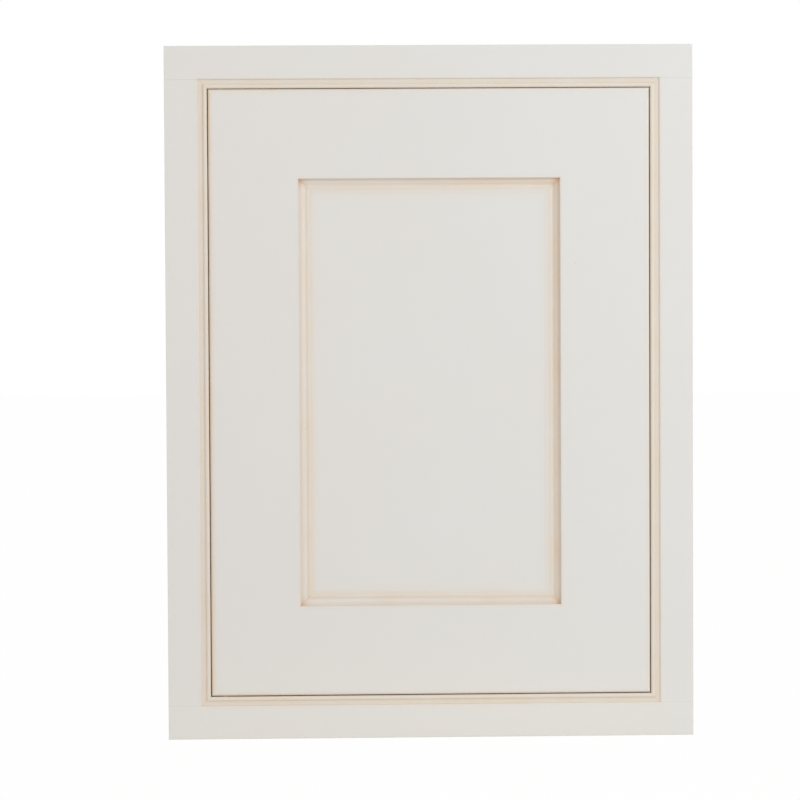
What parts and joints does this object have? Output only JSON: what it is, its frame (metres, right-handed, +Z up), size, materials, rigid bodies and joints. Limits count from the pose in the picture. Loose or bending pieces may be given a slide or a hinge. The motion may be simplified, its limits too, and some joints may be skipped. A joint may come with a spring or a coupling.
{
  "type": "inset kitchen cabinet door",
  "caption": "Cream painted five piece cabinet door with a glazed panel moulding, hung flush in its beaded face frame on hidden pivot hinges.",
  "frame": {"origin": "centre of the back face of the face frame's bottom rail, where the frame meets its cabinet", "axes": "+X to the right seen from the front, +Y back into the cabinet, +Z up; the door's face looks along -Y"},
  "size_m": [0.47, 0.029, 0.618],
  "materials": {
    "frame_paint": "cream paint, satin, on wood",
    "bead_paint": "cream paint with a tan glaze left in the quirks",
    "door_paint": "cream paint, satin, on wood",
    "panel_paint": "cream paint, satin, on board",
    "moulding_paint": "cream paint with a tan glaze left in the quirks",
    "hinge_brass": "satin brass",
    "pin_steel": "ground steel",
    "screw_brass": "brass",
    "stop_wood": "cream paint on wood",
    "brad_steel": "bright drawn",
    "cup_steel": "zinc plated",
    "magnet_nickel": "nickel plated",
    "strike_steel": "zinc plated",
    "screw_steel": "zinc plated"
  },
  "bodies": {
    "face_frame": {"frame_top_rail": "frame_paint", "frame_bottom_rail": "frame_paint", "frame_left_stile": "frame_paint", "frame_right_stile": "frame_paint", "bead_top": "bead_paint", "bead_bottom": "bead_paint", "bead_left": "bead_paint", "bead_right": "bead_paint", "upper_frame_leaf": "hinge_brass", "upper_pivot_pin": "pin_steel", "upper_washer": "hinge_brass", "lower_frame_leaf": "hinge_brass", "lower_pivot_pin": "pin_steel", "lower_washer": "hinge_brass", "frame_leaf_screws": "screw_brass", "stop_hinge_side": "stop_wood", "stop_free_side": "stop_wood", "stop_top": "stop_wood", "stop_bottom": "stop_wood", "stop_brads": "brad_steel", "catch_cups": "cup_steel", "catch_magnets": "magnet_nickel"},
    "door": {"door_left_stile": "door_paint", "door_right_stile": "door_paint", "door_top_rail": "door_paint", "door_bottom_rail": "door_paint", "door_panel": "panel_paint", "moulding_top": "moulding_paint", "moulding_bottom": "moulding_paint", "moulding_left": "moulding_paint", "moulding_right": "moulding_paint", "upper_door_leaf": "hinge_brass", "lower_door_leaf": "hinge_brass", "door_leaf_screws": "screw_brass", "strike_plates": "strike_steel", "strike_screws": "screw_steel"}
  },
  "joints": [
    {"name": "door_swing", "type": "hinge", "parent": "face_frame", "child": "door", "pos_m": [-0.1843, -0.0134, 0.294], "axis": [0, 0, -1], "range_deg": [0, 110]}
  ]
}
